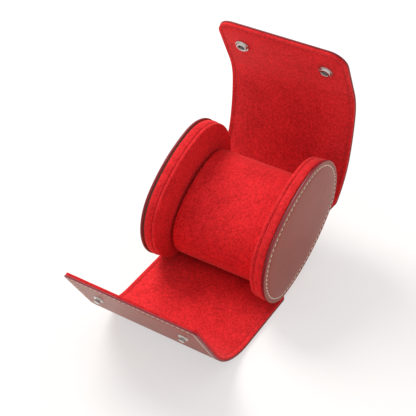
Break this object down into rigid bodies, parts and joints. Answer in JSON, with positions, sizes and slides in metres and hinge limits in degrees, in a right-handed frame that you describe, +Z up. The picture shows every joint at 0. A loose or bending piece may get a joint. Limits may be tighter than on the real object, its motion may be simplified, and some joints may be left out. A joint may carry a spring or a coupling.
{
  "type": "watch storage case",
  "caption": "Open travel watch roll: a suede-lined leather strip bends up in front and behind, wraps round two oval end walls and a soft cushion, and closes with snap fasteners.",
  "frame": {"origin": "underside of the base, inside its flat stretch and midway between the end walls", "axes": "+X along the spool to the right end wall, +Y towards the back flap, +Z up from the table"},
  "size_m": [0.086, 0.1826, 0.1409],
  "materials": {
    "leather": "smooth taupe-brown leather with a fine grain",
    "suede": "short-napped red suede",
    "board": "grey-brown fibreboard",
    "foam": "open-cell foam",
    "nickel": "polished nickel plate",
    "spring": "bright spring wire"
  },
  "bodies": {
    "case_body": {"base_board": "board", "base_leather": "leather", "base_lining": "suede", "cushion_foam": "foam", "cushion_sleeve": "suede", "left_cushion_cap": "suede", "left_end_board": "board", "left_end_leather": "leather", "left_inner_disc": "suede", "left_rim_band": "suede", "right_cushion_cap": "suede", "right_end_board": "board", "right_end_leather": "leather", "right_inner_disc": "suede", "right_rim_band": "suede"},
    "front_1": {"front_1_leather": "leather", "front_1_lining": "suede"},
    "front_2": {"front_2_leather": "leather", "front_2_lining": "suede"},
    "front_3": {"front_3_leather": "leather", "front_3_lining": "suede"},
    "front_4": {"front_4_leather": "leather", "front_4_lining": "suede"},
    "front_tip": {"front_tip_board": "board", "front_tip_leather": "leather", "front_tip_lining": "suede", "left_snap_stud": "nickel", "left_stud_rivet": "nickel", "right_snap_stud": "nickel", "right_stud_rivet": "nickel"},
    "back_1": {"back_1_leather": "leather", "back_1_lining": "suede"},
    "back_2": {"back_2_leather": "leather", "back_2_lining": "suede"},
    "back_3": {"back_3_leather": "leather", "back_3_lining": "suede"},
    "back_tip": {"back_tip_board": "board", "back_tip_leather": "leather", "back_tip_lining": "suede", "left_snap_cap": "nickel", "left_snap_socket": "nickel", "left_socket_spring": "spring", "right_snap_cap": "nickel", "right_snap_socket": "nickel", "right_socket_spring": "spring"}
  },
  "joints": [
    {"name": "front_flap", "type": "hinge", "parent": "case_body", "child": "front_1", "pos_m": [0, -0.0099, 0.0026], "axis": [-1, 0, 0], "range_deg": [0, 24.32]},
    {"name": "front_bend_2", "type": "hinge", "parent": "front_1", "child": "front_2", "pos_m": [0, -0.0264, 0.0026], "axis": [-1, 0, 0], "range_deg": [0, 35.3]},
    {"name": "front_bend_3", "type": "hinge", "parent": "front_2", "child": "front_3", "pos_m": [0, -0.0429, 0.0026], "axis": [-1, 0, 0], "range_deg": [0, 20.3]},
    {"name": "front_bend_4", "type": "hinge", "parent": "front_3", "child": "front_4", "pos_m": [0, -0.05932, 0.00363], "axis": [-1, 0, 0], "range_deg": [0, 7.97]},
    {"name": "front_bend_5", "type": "hinge", "parent": "front_4", "child": "front_tip", "pos_m": [0, -0.09025, 0.03284], "axis": [-1, 0, 0], "range_deg": [0, 6.92]},
    {"name": "back_flap", "type": "hinge", "parent": "case_body", "child": "back_1", "pos_m": [0, 0.05073, 0.02616], "axis": [1, 0, 0], "range_deg": [0, 25.62]},
    {"name": "back_bend_2", "type": "hinge", "parent": "back_1", "child": "back_2", "pos_m": [0, 0.07074, 0.05744], "axis": [1, 0, 0], "range_deg": [0, 26.63]},
    {"name": "back_bend_3", "type": "hinge", "parent": "back_2", "child": "back_3", "pos_m": [0, 0.07272, 0.07411], "axis": [1, 0, 0], "range_deg": [0, 4.78]},
    {"name": "back_bend_4", "type": "hinge", "parent": "back_3", "child": "back_tip", "pos_m": [0, 0.0684, 0.10538], "axis": [1, 0, 0], "range_deg": [0, 30.73]}
  ],
  "couplings": [
    {"joint": "front_bend_2", "follows": "front_flap", "ratio": 1.4508},
    {"joint": "front_bend_3", "follows": "front_flap", "ratio": 0.83432},
    {"joint": "front_bend_4", "follows": "front_flap", "ratio": 0.32728},
    {"joint": "front_bend_5", "follows": "front_flap", "ratio": 0.28409},
    {"joint": "back_bend_2", "follows": "back_flap", "ratio": 1.039},
    {"joint": "back_bend_3", "follows": "back_flap", "ratio": 0.18607},
    {"joint": "back_bend_4", "follows": "back_flap", "ratio": 1.1987}
  ]
}
